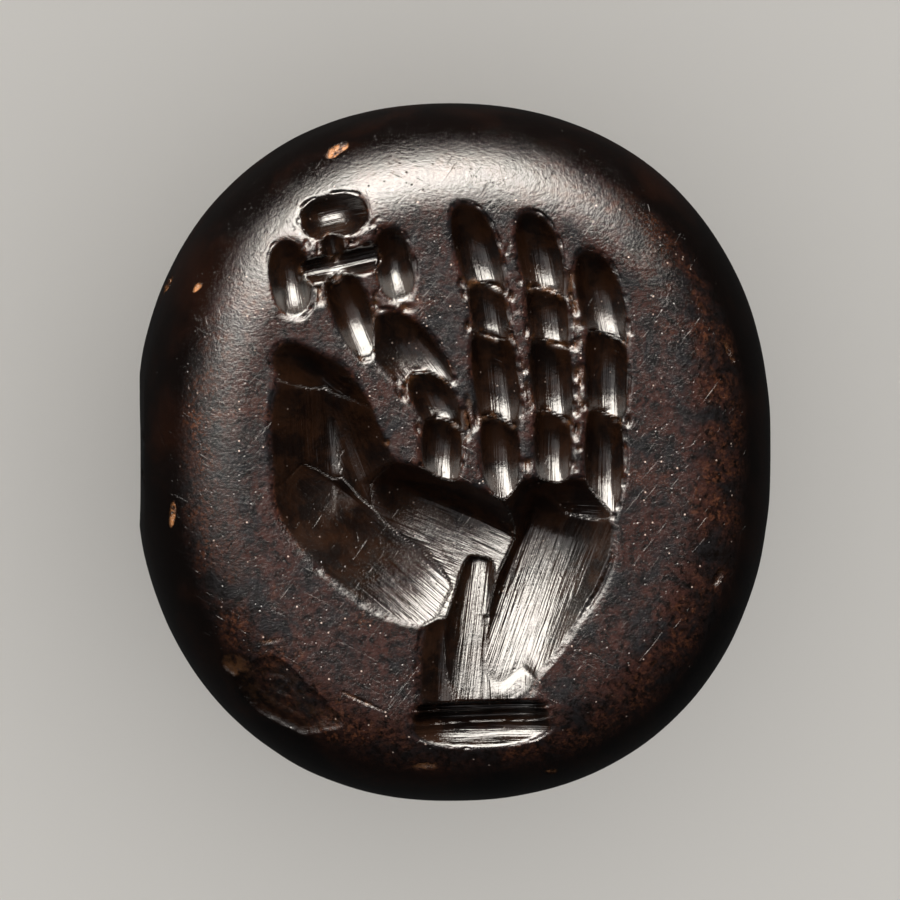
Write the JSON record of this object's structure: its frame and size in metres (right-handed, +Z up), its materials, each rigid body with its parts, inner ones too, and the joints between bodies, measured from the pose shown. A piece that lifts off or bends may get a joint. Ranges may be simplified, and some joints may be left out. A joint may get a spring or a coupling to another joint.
{
  "type": "stamp seal",
  "caption": "Pierced dome of polished dark stone whose flat face is hollow-cut with an open hand holding a small flower, for pressing into clay or wax.",
  "frame": {"origin": "middle of the small flat spot under the domed back, where the seal lies", "axes": "+Z up out of the engraved face, +Y along the carved hand towards its fingertips, X along the cord bore"},
  "size_m": [0.013, 0.0146, 0.0104],
  "materials": {
    "stone": "polished, worn"
  },
  "bodies": {
    "root": {"seal": "stone"}
  },
  "joints": []
}
